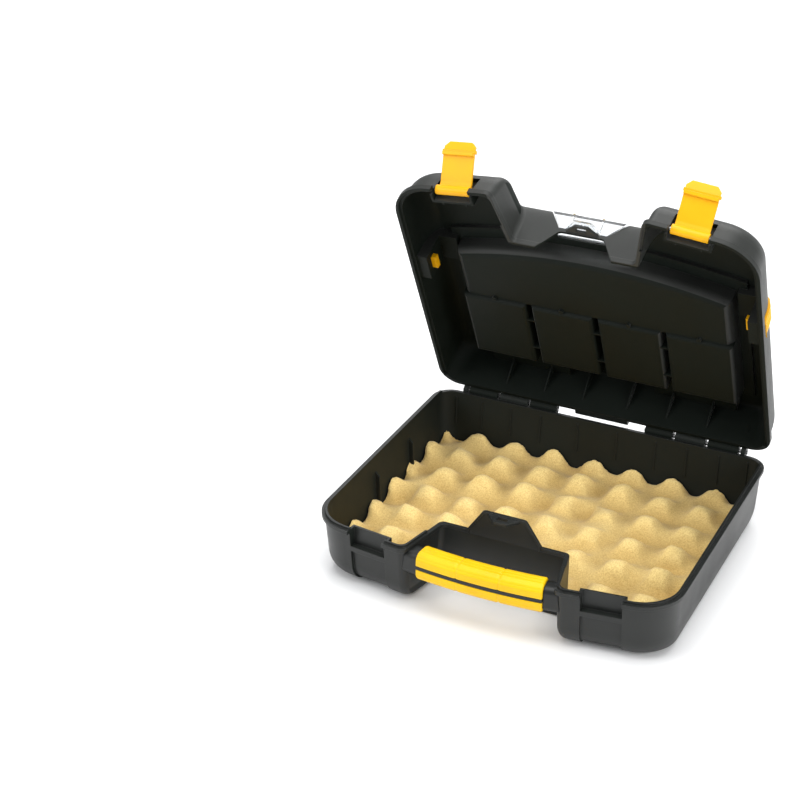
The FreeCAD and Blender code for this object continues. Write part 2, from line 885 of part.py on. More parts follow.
def latch_plate():
    # side view of the plate, down its outer face to the lifted tip and back up past the hook
    y, z = latch_pivot
    face = plate_face
    back = plate_face + plate_thick
    under = ridge_bottom - ridge_fit
    tip = under - tip_length
    profile = [(y - barrel_radius, z), (face, 0.0), (face, under - tip_bend), (0.0, tip),
               (tip_edge[0], tip - tip_edge[1]), (back, under - hook_height),
               (back + hook_reach, under - hook_height), (back + hook_reach, under - hook_ease[1]),
               (back + hook_reach - hook_ease[0], under), (back, under), (back, 0.0),
               (back + plate_neck[0], plate_neck[1]), (y, z)]
    plate = poly_prism(profile, "x", -plate_half, 2 * plate_half)
    low = tip - tip_edge[1] - past
    slope = tip_corner + past
    for side in (-1, 1):
        edge = side * (plate_half + past)
        corner = [(edge, low), (edge - side * (slope + past), low), (edge, low + slope + past)]
        plate = plate.cut(poly_prism(corner, "y", -out, 2 * out))
    ear_half = plate_half + ear_over
    ears = box(-ear_half, ear_half, face - latch_ear_rise, back, under - latch_ear[1], under - latch_ear[0])
    return plate.fuse(ears)


def make_latch(side):
    y, z = latch_pivot
    barrel = rod(barrel_radius, Vector(-barrel_half, y, z), Vector(barrel_half, y, z))
    latch = barrel.fuse(latch_plate()).cut(latch_axle(latch_pin_radius + run_fit))
    latch.rotate(Vector(0, y, z), Vector(1, 0, 0), -latch_swing)
    return at_shoulder(latch, side)


def make_latch_pin(side):
    return at_shoulder(latch_axle(latch_pin_radius), side)


def cover_plate():
    # arched plate with a raised window over the long compartment and a frame round each cell
    plate = arch_block(cover_half, cover_low_y, cover_end_y, arch_rise, cover_z, cover_z + cover_thick)
    top = cover_z + cover_thick + window_height
    dome = arch_block(block_x[3], window_y - window_margin, upper_y[0], arch_rise, cover_z, top, window_margin)
    margin = window_margin - cover_thick
    hollow = arch_block(block_x[3], window_y - window_margin, upper_y[0], arch_rise, cover_z - past,
                        top - cover_thick, margin)
    pieces = [plate, dome]
    for side in (-1, 1):
        for i in (0, 2):
            x0, x1 = sorted([side * block_x[i], side * block_x[i + 1]])
            y0, y1 = lower_y[0] + frame_inset, lower_y[1]
            frame = box(x0, x1, y0, y1, cover_z, cover_z + cover_thick + frame_rise)
            frame = frame.cut(box(x0 + frame_width, x1 - frame_width, y0 + frame_width, y1 - frame_width,
                                  cover_z - past, lid_face + out))
            pieces.append(frame)
    return join(pieces).cut(hollow)


def make_hasp():
    # the cover's nose: a flat flap, a web down through the gate, and an eye over the tabs
    low = base_height + gate_low + hasp_lift
    top = cover_z + cover_thick
    front = recess_y + hasp_set
    flap = gate(-gate_fit, front, cover_end_y - arch_rise + hasp_overlap, cover_z, top)
    web = gate(-gate_fit, front, front + hasp_web, low, top)
    tip = recess_y - tab_reach
    root, end = tab_root_half + eye_margin, tab_tip_half + eye_margin
    eye = poly_prism([(-root, front + hasp_web), (-root, front), (-end, tip), (end, tip), (root, front),
                      (root, front + hasp_web)], "z", low, hasp_web)
    hole = rod(hasp_hole, Vector(0, tab_slot_y, low - past), Vector(0, tab_slot_y, low + hasp_web + past))
    ribs = []
    for x in (-hasp_rib_x, hasp_rib_x):
        half = hasp_rib[0] / 2
        ribs.append(box(x - half, x + half, front - hasp_rib[1], front + past, low + past, cover_z + past))
    return join([flap, web, eye] + ribs).cut(hole)


def make_organiser_lid():
    pieces = [cover_plate(), make_hasp()]
    bores = []
    top = cover_z + cover_thick
    for side in (-1, 1):
        for x in leg_x:
            x0 = side * x - leg_thick / 2
            pieces.append(box(x0, x0 + leg_thick, notch_y[0] + past, rod_y, rod_z - leg_drop, top))
            pieces.append(cover_ring(side * x, rod_radius + ring_wall, leg_thick))
            bores.append(cover_ring(side * x, rod_radius + press_fit, leg_thick + 2 * past))
        px = side * clip_x
        x0, x1 = sorted([side * (channel_start + cover_gap), px])
        for y in (clip_y[0] - cover_ear_gap - cover_ear_thick, clip_y[1] + cover_ear_gap):
            end = y + cover_ear_thick
            pieces.append(box(x0, x1, y, end, clip_z - leg_drop, top))
            pieces.append(rod(clip_barrel, Vector(px, y, clip_z), Vector(px, end, clip_z)))
            bores.append(rod(clip_pin_radius + press_fit, Vector(px, y - past, clip_z),
                             Vector(px, end + past, clip_z)))
    return join(pieces).cut(join(bores))


def make_organiser_rod(side):
    ends = [side * (leg_x[0] - pin_margin), side * (leg_x[-1] + pin_margin)]
    return rod(rod_radius, Vector(ends[0], rod_y, rod_z), Vector(ends[1], rod_y, rod_z))


def make_clip_pin(side):
    x = side * clip_x
    reach = cover_ear_gap + cover_ear_thick
    return rod(clip_pin_radius, Vector(x, clip_y[0] - reach, clip_z), Vector(x, clip_y[1] + reach, clip_z))


def make_side_clip(side):
    # bent plate from the barrel down the lid's side, with a hook through the channel's wall
    top = [(clip_x + a, lid_face - b) for a, b in clip_outer_top]
    low = [(clip_x + a, base_height + b) for a, b in clip_outer_low + clip_inner_low]
    back = [(clip_x + a, lid_face - b) for a, b in clip_inner_top]
    length = clip_y[1] - clip_y[0]
    plate = poly_prism(top + low + back, "y", clip_y[0], length)
    barrel = rod(clip_barrel, Vector(clip_x, clip_y[0], clip_z), Vector(clip_x, clip_y[1], clip_z))
    inset = catch_margin + clip_hook_fit
    root = clip_x + clip_inner_low[1][0] + past
    hook = box(channel_x - wall - clip_hook_reach, root, clip_y[0] + inset, clip_y[1] - inset,
               base_height + clip_hook[0], base_height + clip_hook[1])
    bore = rod(clip_pin_radius + run_fit, Vector(clip_x, clip_y[0] - past, clip_z),
               Vector(clip_x, clip_y[1] + past, clip_z))
    return mirrored(join([plate, barrel, hook]).cut(bore), side)


nodes = {
    "base_shell": make_base_shell(),
    "handle_bar": make_handle_bar(),
    "grip_upper": make_grip(1),
    "grip_lower": make_grip(-1),
    "foam_pad": make_foam_pad(),
    "lid_shell": opened(make_lid_shell()),
    "organiser_lid": opened(make_organiser_lid()),
}
for name, side in (("left", -1), ("right", 1)):
    nodes["hinge_pin_" + name] = make_hinge_pin(side)
    nodes["latch_" + name] = opened(make_latch(side))
    nodes["latch_pin_" + name] = opened(make_latch_pin(side))
    nodes["organiser_rod_" + name] = opened(make_organiser_rod(side))
    nodes["clip_pin_" + name] = opened(make_clip_pin(side))
    nodes["side_clip_" + name] = opened(make_side_clip(side))

os.makedirs("parts", exist_ok=True)
for name, shape in nodes.items():
    shape.exportStep("parts/" + name + ".step")
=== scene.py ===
import bmesh
import bpy
import json
import numpy as np
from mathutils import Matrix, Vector


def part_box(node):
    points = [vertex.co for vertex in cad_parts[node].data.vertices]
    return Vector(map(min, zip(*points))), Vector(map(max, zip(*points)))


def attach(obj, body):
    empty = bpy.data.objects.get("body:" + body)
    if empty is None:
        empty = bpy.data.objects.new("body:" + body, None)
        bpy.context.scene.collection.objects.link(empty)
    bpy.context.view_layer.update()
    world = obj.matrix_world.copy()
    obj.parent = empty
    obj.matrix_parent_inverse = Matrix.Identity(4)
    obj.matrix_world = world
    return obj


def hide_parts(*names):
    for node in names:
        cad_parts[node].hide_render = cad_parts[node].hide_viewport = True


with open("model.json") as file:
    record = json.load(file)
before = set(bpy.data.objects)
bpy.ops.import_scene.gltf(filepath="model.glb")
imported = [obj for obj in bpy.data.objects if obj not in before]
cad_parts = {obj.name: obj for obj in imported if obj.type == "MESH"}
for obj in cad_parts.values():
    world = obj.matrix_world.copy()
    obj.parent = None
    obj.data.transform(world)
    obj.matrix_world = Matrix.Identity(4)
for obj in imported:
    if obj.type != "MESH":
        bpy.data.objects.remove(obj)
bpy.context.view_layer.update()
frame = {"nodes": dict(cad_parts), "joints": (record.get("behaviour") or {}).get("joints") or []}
nodes = frame["nodes"]
print("frame loaded:", len(nodes), "nodes")


# the joint that carries each body, and how the lid stands on its own
pivots = {joint["child"]: joint for joint in frame["joints"]}
lidHinge = np.array(pivots["lid"]["pos_m"])
lidOpen = pivots["lid"]["range_deg"][0]     # degrees about x, from the shut lid to the open one

# the grip's corners, and the middle of its bowed sleeve, which is this wide across the bow
gripWidth = 0.026
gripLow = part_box("grip_lower")[0]
gripSplit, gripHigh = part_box("grip_upper")  # the upper half starts where the two halves part
gripMiddle = (0.0, gripLow.y + gripWidth / 2, (gripLow.z + gripHigh.z) / 2)


def turned(points, axis, degrees):
    # points or directions turned about the x or z axis
    angle = np.radians(degrees)
    c, s = np.cos(angle), np.sin(angle)
    spin = {"x": [[1, 0, 0], [0, c, -s], [0, s, c]], "z": [[c, -s, 0], [s, c, 0], [0, 0, 1]]}[axis]
    return np.array(points) @ np.array(spin).T


def opened(place):
    # where a place on the shut lid lies on the open one
    return turned(np.array(place) - lidHinge, "x", lidOpen) + lidHinge


# camera, placed where the photograph was taken from
viewSet = {
    "place": (0.6013, -1.5594, 1.0725), "look": (-0.3884, 0.7908, -0.4732),
    "lens": 83.97, "sensor": 36.0, "farClip": 50.0,
}


def makeCamera(s):
    data = bpy.data.cameras.new("camera")
    data.lens = s["lens"]
    data.sensor_width = s["sensor"]
    data.clip_end = s["farClip"]
    cam = bpy.data.objects.new("camera", data)
    cam.location = s["place"]
    cam.rotation_euler = Vector(s["look"]).to_track_quat("-Z", "Y").to_euler()
    bpy.context.scene.collection.objects.link(cam)
    bpy.context.scene.camera = cam


makeCamera(viewSet)


# soft boxes round the case and an even pale surround
lightSet = {
    "surround": (0.95, 0.97, 1.0), "surroundPower": 0.42, "toneCurve": "Standard",
    "boxes": [
        # name, place, aim, size, power
        ("topBox", (0.1, -0.2, 2.1), (0.0, 0.1, 0.1), 1.8, 40.0),
        ("leftBox", (-1.7, -1.3, 1.2), (0.0, 0.0, 0.1), 1.2, 22.0),
        ("rightBox", (1.9, -0.5, 0.9), (0.1, 0.0, 0.1), 1.2, 26.0),
        ("backBox", (-0.7, 2.6, 2.2), (-0.7, 1.2, 0.0), 2.4, 60.0),
    ],
}


def makeLights(s):
    world = bpy.data.worlds.new("surround")
    world.use_nodes = True
    back = world.node_tree.nodes["Background"]
    back.inputs["Color"].default_value = (*s["surround"], 1)
    back.inputs["Strength"].default_value = s["surroundPower"]
    bpy.context.scene.world = world
    bpy.context.scene.view_settings.view_transform = s["toneCurve"]
    for name, place, aim, size, power in s["boxes"]:
        data = bpy.data.lights.new(name, "AREA")
        data.energy = power
        data.size = size
        lamp = bpy.data.objects.new(name, data)
        lamp.location = place
        lamp.rotation_euler = (Vector(aim) - Vector(place)).to_track_quat("-Z", "Y").to_euler()
        bpy.context.scene.collection.objects.link(lamp)


makeLights(lightSet)
print("camera and lights placed")


# material tools
noiseBand = (0.3, 0.7)                                      # where most of a noise's values lie
mixSockets = {"RGBA": (6, 7, 2), "FLOAT": (2, 3, 0)}        # a Mix node's two inputs and its output
bevelSamples = 4


def startMaterial(name):
    mat = bpy.data.materials.new(name)
    mat.use_nodes = True
    tree = mat.node_tree
    return mat, tree, tree.nodes["Principled BSDF"]


def addNode(tree, kind, **values):
    # a value goes to the input of that name, or else to the node's own setting
    node = tree.nodes.new(kind)
    for key, value in values.items():
        if key in node.inputs:
            node.inputs[key].default_value = value
        else:
            setattr(node, key, value)
    return node


def feed(tree, socket, value):
    # a plain number is set on the socket, and another node's output is linked to it
    if isinstance(value, (int, float)):
        socket.default_value = value
    else:
        tree.links.new(value, socket)


def objectNoise(tree, scale, detail, rough=0.55):
    where = addNode(tree, "ShaderNodeTexCoord")
    noise = addNode(tree, "ShaderNodeTexNoise", Scale=scale, Detail=detail, Roughness=rough)
    tree.links.new(where.outputs["Object"], noise.inputs["Vector"])
    return noise.outputs["Fac"]


def span(tree, source, low, high, band=noiseBand):
    # from low to high as the source crosses the band
    ramp = addNode(tree, "ShaderNodeMapRange")
    ramp.inputs["From Min"].default_value = band[0]
    ramp.inputs["From Max"].default_value = band[1]
    ramp.inputs["To Min"].default_value = low
    ramp.inputs["To Max"].default_value = high
    tree.links.new(source, ramp.inputs["Value"])
    return ramp.outputs["Result"]


def twoTone(tree, source, dark, light, band=noiseBand):
    # from dark to light as the source crosses the band
    ramp = addNode(tree, "ShaderNodeValToRGB")
    for element, position, colour in zip(ramp.color_ramp.elements, band, (dark, light)):
        element.position = position
        element.color = (*colour, 1)
    tree.links.new(source, ramp.inputs["Fac"])
    return ramp.outputs["Color"]


def blendBy(tree, share, first, second, kind, mode="MIX"):
    # the first where share is 0; where it is 1, the second, or their product with mode MULTIPLY
    mix = addNode(tree, "ShaderNodeMix", data_type=kind, blend_type=mode)
    one, two, result = mixSockets[kind]
    feed(tree, mix.inputs[0], share)
    feed(tree, mix.inputs[one], first)
    feed(tree, mix.inputs[two], second)
    return mix.outputs[result]


def sums(tree, kind, *values):
    # one step of arithmetic on node outputs or plain numbers
    node = addNode(tree, "ShaderNodeMath", operation=kind)
    for socket, value in zip(node.inputs, values):
        feed(tree, socket, value)
    return node.outputs[0]


def grainBump(tree, bsdf, source, depth, strength=1.0, after=None):
    # relief from a pattern, on top of another node's normal where one is given
    bump = addNode(tree, "ShaderNodeBump", Strength=strength, Distance=depth)
    tree.links.new(source, bump.inputs["Height"])
    if after is not None:
        tree.links.new(after, bump.inputs["Normal"])
    tree.links.new(bump.outputs["Normal"], bsdf.inputs["Normal"])


def mouldedSkin(tree, bsdf, s):
    # gloss, softened edges that catch the light, and a fine grain on top
    edges = addNode(tree, "ShaderNodeBevel", Radius=s["edge"], samples=bevelSamples)
    grain = objectNoise(tree, *s["grain"])
    grainBump(tree, bsdf, grain, s["depth"], after=edges.outputs["Normal"])
    bsdf.inputs["Specular IOR Level"].default_value = s["gloss"]


# black moulded plastic: fine spark grain, a little cloudiness, softened edges that catch the light,
# and a duller face on the inside, with darker tones there that are painted shade
blackSet = {
    "cloud": (16.0, 4.0), "grain": (2200.0, 2.0),       # scale and detail of each noise
    "depth": 0.00006, "edge": 0.0011, "rough": (0.36, 0.48),
    # the tones on faces that look into the hollow are painted shade; their roughness is a duller inside
    # finish
    "inDark": (0.0026, 0.0050, 0.0030), "inLight": (0.0044, 0.0074, 0.0050), "inRough": (0.6, 0.72),
    # the handle recess in plan: the slant of its sides, their reach from the middle at y = 0, its rear wall,
    # and the bands over which the finish and painted shade change, at the recess and where a face turns
    # inwards
    "recessSlant": 0.2121, "recessReach": 0.0484, "recessRear": 0.0998,
    "recessBand": (-0.0002, 0.0002), "lookBand": (-0.004, 0.004),
}
hollowMiddle = (0.0, 0.0, 0.05)                         # in the shut case, for base and lid alike
lidRearward = turned((0.0, 1.0, 0.0), "x", lidOpen)
baseBlackSet = {
    **blackSet, "name": "baseBlack", "gloss": 0.38,
    "dark": (0.0085, 0.0096, 0.0085), "light": (0.0135, 0.0150, 0.0135),
    "middle": hollowMiddle, "rearward": (0.0, 1.0, 0.0), "shift": 0.0,
}
# the lid's tones are painted lighter than the base's: a painted lit copy of the same black plastic
lidBlackSet = {
    **blackSet, "name": "lidBlack", "gloss": 0.2,
    "dark": (0.026, 0.0275, 0.0255), "light": (0.036, 0.038, 0.0355),
    "middle": opened(hollowMiddle), "rearward": lidRearward, "shift": lidHinge[1] - lidHinge @ lidRearward,
}
barBlackSet = {
    **baseBlackSet, "name": "barBlack", "gloss": 0.4,
    "dark": (0.0062, 0.0072, 0.0063), "light": (0.0105, 0.0118, 0.0105),
    # faces of the bar that look towards the grip's middle take the painted shade
    "middle": gripMiddle,
}


def outOfRecess(tree, s):
    # 0 where the handle recess is, ahead of its rear wall and between its slanted sides, and 1 elsewhere;
    # y is measured rearwards as on the shut case
    where = addNode(tree, "ShaderNodeTexCoord").outputs["Object"]
    split = addNode(tree, "ShaderNodeSeparateXYZ")
    ahead = addNode(tree, "ShaderNodeVectorMath", operation="DOT_PRODUCT")
    ahead.inputs[1].default_value = s["rearward"]
    tree.links.new(where, split.inputs[0])
    tree.links.new(where, ahead.inputs[0])
    y = sums(tree, "ADD", ahead.outputs["Value"], s["shift"])
    reach = sums(tree, "MULTIPLY_ADD", y, -s["recessSlant"], s["recessReach"])
    beside = sums(tree, "SUBTRACT", sums(tree, "ABSOLUTE", split.outputs["X"]), reach)
    behind = sums(tree, "ADD", y, s["recessRear"])
    return span(tree, sums(tree, "MAXIMUM", beside, behind), 0.0, 1.0, s["recessBand"])


def insideShare(tree, s):
    # 1 on faces that look towards the middle of the hollow, 0 on faces that look away from it
    where = addNode(tree, "ShaderNodeTexCoord")
    away = addNode(tree, "ShaderNodeVectorMath", operation="SUBTRACT")
    away.inputs[1].default_value = s["middle"]
    look = addNode(tree, "ShaderNodeVectorMath", operation="DOT_PRODUCT")
    tree.links.new(where.outputs["Object"], away.inputs[0])
    tree.links.new(away.outputs["Vector"], look.inputs[0])
    tree.links.new(where.outputs["Normal"], look.inputs[1])
    return span(tree, look.outputs["Value"], 1.0, 0.0, s["lookBand"])


def blackPlastic(s):
    mat, tree, bsdf = startMaterial(s["name"])
    cloud = objectNoise(tree, *s["cloud"])
    # faces that look into the hollow, away from the handle recess, take darker tones: painted shade inside
    # the case
    inside = sums(tree, "MULTIPLY", insideShare(tree, s), outOfRecess(tree, s))
    outer = twoTone(tree, cloud, s["dark"], s["light"])
    inner = twoTone(tree, cloud, s["inDark"], s["inLight"])
    outerRough = span(tree, cloud, *s["rough"])
    innerRough = span(tree, cloud, *s["inRough"])
    tree.links.new(blendBy(tree, inside, outer, inner, "RGBA"), bsdf.inputs["Base Color"])
    tree.links.new(blendBy(tree, inside, outerRough, innerRough, "FLOAT"), bsdf.inputs["Roughness"])
    mouldedSkin(tree, bsdf, s)
    return mat


# yellow moulded plastic: even, slightly glossy, faint flow marks, lemon on the grips
yellowSet = {
    "cloud": (26.0, 3.0), "grain": (1800.0, 2.0),       # scale and detail of each noise
    "depth": 0.00004, "edge": 0.0008, "rough": (0.34, 0.46), "gloss": 0.28,
}
gripYellowSet = {
    **yellowSet, "name": "gripYellow", "dark": (0.78, 0.46, 0.0022), "light": (0.86, 0.535, 0.003),
}
latchYellowSet = {
    **yellowSet, "name": "latchYellow", "dark": (0.8, 0.385, 0.0025), "light": (0.87, 0.435, 0.003),
}


def yellowPlastic(s):
    mat, tree, bsdf = startMaterial(s["name"])
    cloud = objectNoise(tree, *s["cloud"])
    tree.links.new(twoTone(tree, cloud, s["dark"], s["light"]), bsdf.inputs["Base Color"])
    tree.links.new(span(tree, cloud, *s["rough"]), bsdf.inputs["Roughness"])
    mouldedSkin(tree, bsdf, s)
    return mat


# clear cover: thin moulding with a little milkiness
clearSet = {
    "tint": (0.95, 0.97, 0.985), "haze": (90.0, 3.0), "rough": (0.05, 0.12),
    "index": 1.3, "clear": 0.93, "coat": 0.5,
}


def clearPlastic(s):
    mat, tree, bsdf = startMaterial("clearMoulding")
    haze = objectNoise(tree, *s["haze"])
    tree.links.new(span(tree, haze, *s["rough"]), bsdf.inputs["Roughness"])
    bsdf.inputs["Base Color"].default_value = (*s["tint"], 1)
    bsdf.inputs["Transmission Weight"].default_value = s["clear"]
    bsdf.inputs["IOR"].default_value = s["index"]
    bsdf.inputs["Coat Weight"].default_value = s["coat"]
    return mat


# plain wire pins
wireSet = {
    "dark": (0.32, 0.32, 0.32), "light": (0.5, 0.5, 0.49), "cloud": (400.0, 3.0),
    "rough": (0.25, 0.45), "metal": 1.0,
}


def wireSteel(s):
    mat, tree, bsdf = startMaterial("pinWire")
    cloud = objectNoise(tree, *s["cloud"])
    tree.links.new(twoTone(tree, cloud, s["dark"], s["light"]), bsdf.inputs["Base Color"])
    tree.links.new(span(tree, cloud, *s["rough"]), bsdf.inputs["Roughness"])
    bsdf.inputs["Metallic"].default_value = s["metal"]
    return mat


# open-cell foam: tan, with painted shade in its pores and down into its hollows, so that its crests read
# paler
foamSet = {
    "dark": (0.72, 0.49, 0.17), "light": (0.96, 0.74, 0.31), "poreBand": (0.33, 0.6),
    "pores": (700.0, 4.0, 0.65), "poreDepth": 0.0005, "poreStrength": 0.8,      # scale, detail, roughness
    # hollow and crest: painted shade multiplied over the pore tones, full at the bottom of the bed and none
    # on its crests
    "hollow": (0.66, 0.6, 0.52), "crest": (1.0, 1.0, 1.0), "heights": (0.011, 0.024),
    "rough": 0.95, "gloss": 0.1, "sheen": 0.2,
    "weld": 0.00001, "voxel": 0.0024, "ease": 0.5, "easeSteps": 14,
    "seed": 7, "waves": 9, "waveLength": (0.026, 0.08), "waveRise": 0.0019, "nap": 0.00014,
    # a point moves where its normal's z is over upFrom, and fully from upSpan above that
    "upFrom": 0.35, "upSpan": 0.4,
}


def foamMaterial(s):
    mat, tree, bsdf = startMaterial("openFoam")
    pores = objectNoise(tree, *s["pores"])
    where = addNode(tree, "ShaderNodeTexCoord")
    split = addNode(tree, "ShaderNodeSeparateXYZ")
    tree.links.new(where.outputs["Object"], split.inputs[0])
    height = span(tree, split.outputs["Z"], 0.0, 1.0, s["heights"])
    # pore tones, darker where the pore relief dips: painted shade in the pores
    poreShade = twoTone(tree, pores, s["dark"], s["light"], s["poreBand"])
    # painted shade by height, deepening from the crests down into the hollows
    shade = twoTone(tree, height, s["hollow"], s["crest"], (0.0, 1.0))
    tree.links.new(blendBy(tree, 1.0, poreShade, shade, "RGBA", "MULTIPLY"), bsdf.inputs["Base Color"])
    grainBump(tree, bsdf, pores, s["poreDepth"], s["poreStrength"])
    bsdf.inputs["Roughness"].default_value = s["rough"]
    bsdf.inputs["Specular IOR Level"].default_value = s["gloss"]
    bsdf.inputs["Sheen Weight"].default_value = s["sheen"]
    return mat


def softCopy(node, s):
    # merged copy of a solid, remeshed evenly and smoothed so that its creases soften
    mesh = node.data.copy()
    work = bmesh.new()
    work.from_mesh(mesh)
    bmesh.ops.remove_doubles(work, verts=work.verts, dist=s["weld"])
    work.to_mesh(mesh)
    work.free()
    piece = bpy.data.objects.new("foamWork", mesh)
    bpy.context.scene.collection.objects.link(piece)
    even = piece.modifiers.new("even", "REMESH")
    even.mode = "VOXEL"
    even.voxel_size = s["voxel"]
    soft = piece.modifiers.new("soft", "SMOOTH")
    soft.factor = s["ease"]
    soft.iterations = s["easeSteps"]
    view = bpy.context.evaluated_depsgraph_get()
    result = bpy.data.meshes.new_from_object(piece.evaluated_get(view))
    bpy.data.objects.remove(piece)
    return result


def makeFoam(s):
    # each point that faces up rises or sinks by a sum of sine waves of mixed length and direction,
    # and stands off its surface by a small random nap
    mesh = softCopy(nodes["foam_pad"], s)
    count = len(mesh.vertices)
    place = np.empty(count * 3)
    facing = np.empty(count * 3)
    mesh.vertices.foreach_get("co", place)
    mesh.vertex_normals.foreach_get("vector", facing)
    place = place.reshape(-1, 3)
    facing = facing.reshape(-1, 3)
    chance = np.random.default_rng(s["seed"])
    angle = chance.uniform(0, 2 * np.pi, s["waves"])
    number = 2 * np.pi / chance.uniform(*s["waveLength"], s["waves"])
    start = chance.uniform(0, 2 * np.pi, s["waves"])
    run = place[:, :1] * np.cos(angle) + place[:, 1:2] * np.sin(angle)
    rise = np.sin(run * number + start).sum(1) * s["waveRise"] / np.sqrt(s["waves"] / 2)
    upward = np.clip((facing[:, 2] - s["upFrom"]) / s["upSpan"], 0, 1)
    place[:, 2] += upward * rise
    place += facing * (upward * chance.normal(0, s["nap"], count))[:, None]
    mesh.vertices.foreach_set("co", place.ravel())
    mesh.polygons.foreach_set("use_smooth", np.ones(len(mesh.polygons), bool))
    mesh.update()
    mesh.name = "foamBed"
    mesh.materials.clear()
    mesh.materials.append(foamMaterial(s))
    piece = bpy.data.objects.new("foamBed", mesh)
    bpy.context.scene.collection.objects.link(piece)
    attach(piece, "base")
    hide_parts("foam_pad")
    print("foam bed:", count, "points")


makeFoam(foamSet)


# finishes of the moulded parts and pins
def dress(names, mat):
    for name in names:
        slots = nodes[name].data.materials
        slots.clear()
        slots.append(mat)


gripYellow = yellowPlastic(gripYellowSet)
latchYellow = yellowPlastic(latchYellowSet)
dress(["base_shell"], blackPlastic(baseBlackSet))
dress(["lid_shell"], blackPlastic(lidBlackSet))
dress(["handle_bar"], blackPlastic(barBlackSet))
dress(["latch_left", "latch_right", "side_clip_left", "side_clip_right"], latchYellow)
dress(["organiser_lid", "organiser_rod_left", "organiser_rod_right", "clip_pin_left", "clip_pin_right"],
      clearPlastic(clearSet))
dress(["hinge_pin_left", "hinge_pin_right", "latch_pin_left", "latch_pin_right"], wireSteel(wireSet))
print("finishes set")


# surface tools
sharpAngle = 0.7                            # radians between two faces, past which their edge stays sharp


def putSurface(name, points, quads, mat):
    # closed mesh from whole arrays, turned so that its faces point outwards
    a, b, c, d = (points[quads[:, i]] for i in range(4))
    volume = (np.cross(b, c) * a).sum() + (np.cross(c, d) * a).sum()
    if volume < 0:
        quads = quads[:, ::-1]
    mesh = bpy.data.meshes.new(name)
    mesh.from_pydata(points.tolist(), [], quads.tolist())
    mesh.polygons.foreach_set("use_smooth", np.ones(len(quads), bool))
    mesh.update()
    mesh.set_sharp_from_angle(angle=sharpAngle)
    mesh.materials.append(mat)
    piece = bpy.data.objects.new(name, mesh)
    bpy.context.scene.collection.objects.link(piece)
    return piece


def sweptQuads(rows, half):
    # faces of a closed loop of 2 * half points carried along a path, with both ends closed between the
    # loop's first half and its second, which runs back
    cols = 2 * half
    i = np.arange(rows - 1)[:, None] * cols
    j = np.arange(cols)
    k = (j + 1) % cols
    walls = np.stack([i + j, i + k, i + cols + k, i + cols + j], -1).reshape(-1, 4)
    m = np.arange(half - 1)
    back = cols - 1 - m
    last = (rows - 1) * cols
    ends = [np.stack([m + 1, m, back, back - 1], -1), last + np.stack([m, m + 1, back - 1, back], -1)]
    return np.concatenate([walls] + ends)


# grip halves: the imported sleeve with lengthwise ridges, two grooves across it and eased ends
gripSet = {
    "bow": 0.538, "corner": 0.009, "hollow": (0.0185, 0.0245), "hollowCorner": 0.00525,
    "ridges": 9, "ridgeDepth": 0.00045, "crease": 0.55,
    "grooveAt": 0.022, "grooveWidth": 0.0012, "grooveDepth": 0.0007, "endRound": 0.0018,
    "rows": 241, "across": 140,
}


def archProfile(size, corner, low, count):
    # upper half of a rounded rectangle by the distance along it: up a side, a quarter turn, along the
    # top, a quarter turn and down; gives its two coordinates, the angle it faces and the share of the way
    w, h = size[0] / 2, size[1] / 2
    quarter = np.pi / 2
    side = h - corner - low
    turn = quarter * corner
    top = 2 * (w - corner)
    t = np.linspace(0, 2 * side + 2 * turn + top, count)
    angle = np.clip((t - side) / corner, 0, quarter)
    angle = angle + np.clip((t - side - turn - top) / corner, 0, quarter)
    u = w - corner - np.clip(t - side - turn, 0, top) + corner * np.cos(angle)
    rise = np.clip(t, 0, side) - np.clip(t - side - 2 * turn - top, 0, side)
    return u, low + rise + corner * np.sin(angle), angle, t / t[-1]


def makeGrip(s, name, node, flip):
    # the outer arch, set in by ridges, grooves and eased ends, and the hollow's arch run back under it,
    # both carried along an arc about the bow's pole; flip is 1 for the upper half and -1 for the lower
    size = (gripWidth, gripHigh.z - gripLow.z)
    split = gripSplit.z - gripMiddle[2]
    u, v, angle, share = archProfile(size, s["corner"], split, s["across"])
    hollowU, hollowV, _, _ = archProfile(s["hollow"], s["hollowCorner"], split, s["across"])
    swing = np.arcsin(gripHigh.x / (s["bow"] + gripWidth / 2))
    way = np.linspace(-swing, swing, s["rows"])
    along = np.abs(way) * s["bow"]
    ridge = s["ridgeDepth"] * (1 - np.abs(np.sin(np.pi * s["ridges"] * share)) ** s["crease"])
    groove = s["grooveDepth"] * np.exp(-((along - s["grooveAt"]) / s["grooveWidth"]) ** 2)
    edge = np.clip((along - along.max()) / s["endRound"] + 1, 0, 1)
    ease = s["endRound"] * (1 - np.sqrt(1 - edge ** 2))
    setIn = ridge[None, :] * (1 - edge[:, None]) + (groove + ease)[:, None]
    ones = np.ones((s["rows"], 1))
    loopU = np.concatenate([u - setIn * np.cos(angle), ones * hollowU[::-1]], 1)
    loopV = np.concatenate([v - setIn * np.sin(angle), ones * hollowV[::-1]], 1)
    loopV = np.maximum(loopV, split)
    radius = s["bow"] + loopU
    pole = gripMiddle[1] + s["bow"]
    points = np.stack([radius * np.sin(way)[:, None], pole - radius * np.cos(way)[:, None],
                       gripMiddle[2] + flip * loopV], -1).reshape(-1, 3)
    piece = putSurface(name, points, sweptQuads(s["rows"], s["across"]), gripYellow)
    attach(piece, "base")
    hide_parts(node)
    print("grip half:", name, len(points), "points")


makeGrip(gripSet, "gripTop", "grip_upper", 1)
makeGrip(gripSet, "gripUnder", "grip_lower", -1)


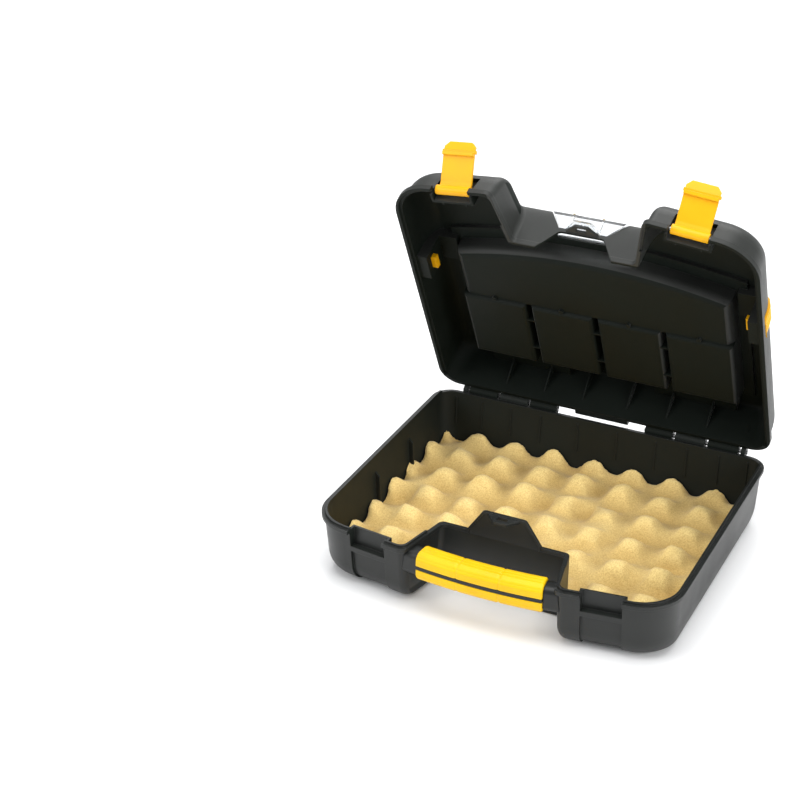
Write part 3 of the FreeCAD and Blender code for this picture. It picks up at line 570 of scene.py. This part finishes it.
# ribs along the outer faces of the latches and side clips, measured from each one's pivot
ribSet = {"rows": 49, "half": 10, "fade": 8, "sink": 0.0004}
latchRibSet = {
    **ribSet, "across": (-0.0111, -0.0037, 0.0037, 0.0111), "wide": 0.0027, "rise": 0.0007,
    "face": -0.0056, "run": (-0.0105, -0.0365),                     # y of the plate's face, and z along it
}
clipRibSet = {
    **ribSet, "across": (-0.0295, -0.024, -0.0185), "wide": 0.0018, "rise": 0.0006,
    "run": ((0.018, -0.012), (0.019, -0.0205), (0.0194, -0.03)),    # x outwards and z, at each bend
}


def ribBar(s, path, across, outward):
    # an oval carried along a path: as high as its rise on the outer side, sunk a little on the inner one,
    # and fading to nothing at both ends
    phi = (np.arange(2 * s["half"]) + 0.5) * np.pi / s["half"]
    t = np.linspace(-1, 1, len(path))
    fade = np.sqrt(1 - np.abs(t) ** s["fade"])[:, None]
    lift = np.where(np.sin(phi) > 0, s["rise"] * fade * np.sin(phi), s["sink"] * np.sin(phi))
    flat = np.broadcast_to(s["wide"] * np.cos(phi), lift.shape)
    return path[:, None] + flat[..., None] * np.array(across) + lift[..., None] * np.array(outward)


def joinBars(s, name, bars, body):
    # the bars of one latch or clip as one piece
    quads = sweptQuads(s["rows"], s["half"])
    size = bars[0].size // 3
    points = np.concatenate([bar.reshape(-1, 3) for bar in bars])
    faces = np.concatenate([quads + i * size for i in range(len(bars))])
    piece = putSurface(name, points, faces, latchYellow)
    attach(piece, body)
    print("ribs:", name, len(bars), "bars")


def latchRibs(s, name, body):
    # straight bars down the plate, thrown open with the latch, slanted with its pin and opened with the lid
    pivot = pivots[body]
    pin = turned(pivot["axis"], "x", -lidOpen)
    slant = np.degrees(np.arctan2(pin[1], pin[0]))
    z = np.linspace(*s["run"], s["rows"])
    bars = []
    for x in s["across"]:
        path = np.stack([np.full_like(z, x), np.full_like(z, s["face"]), z], -1)
        bar = ribBar(s, path, (1, 0, 0), (0, -1, 0))
        bar = turned(bar, "x", -pivot["range_deg"][1])
        bar = turned(bar, "z", slant)
        bars.append(turned(bar, "x", lidOpen) + pivot["pos_m"])
    joinBars(s, name, bars, body)


def clipRibs(s, name, body):
    # bars down the clip's outer face along its bends, mirrored on the left side and opened with the lid
    pivot = pivots[body]
    mirror = (np.sign(pivot["pos_m"][0]), 1, 1)
    bends = np.array(s["run"])
    at = np.arange(len(bends))
    t = np.linspace(0, at[-1], s["rows"])
    x, z = (np.interp(t, at, bends[:, i]) for i in range(2))
    bars = []
    for y in s["across"]:
        path = np.stack([x, np.full_like(t, y), z], -1)
        bar = ribBar(s, path, (0, 1, 0), (1, 0, 0)) * mirror
        bars.append(turned(bar, "x", lidOpen) + pivot["pos_m"])
    joinBars(s, name, bars, body)


latchRibs(latchRibSet, "latchRibsLeft", "latch_left")
latchRibs(latchRibSet, "latchRibsRight", "latch_right")
clipRibs(clipRibSet, "clipRibsLeft", "clip_left")
clipRibs(clipRibSet, "clipRibsRight", "clip_right")


# pale floor
floorSet = {"half": 6.0, "colour": (0.93, 0.93, 0.93), "rough": 0.9}


def makeFloor(s):
    h = s["half"]
    mesh = bpy.data.meshes.new("floor")
    mesh.from_pydata([(-h, -h, 0), (h, -h, 0), (h, h, 0), (-h, h, 0)], [], [(0, 1, 2, 3)])
    floor = bpy.data.objects.new("floor", mesh)
    bpy.context.scene.collection.objects.link(floor)
    mat, _, bsdf = startMaterial("paleFloor")
    bsdf.inputs["Base Color"].default_value = (*s["colour"], 1)
    bsdf.inputs["Roughness"].default_value = s["rough"]
    floor.data.materials.append(mat)


makeFloor(floorSet)
print("floor laid")
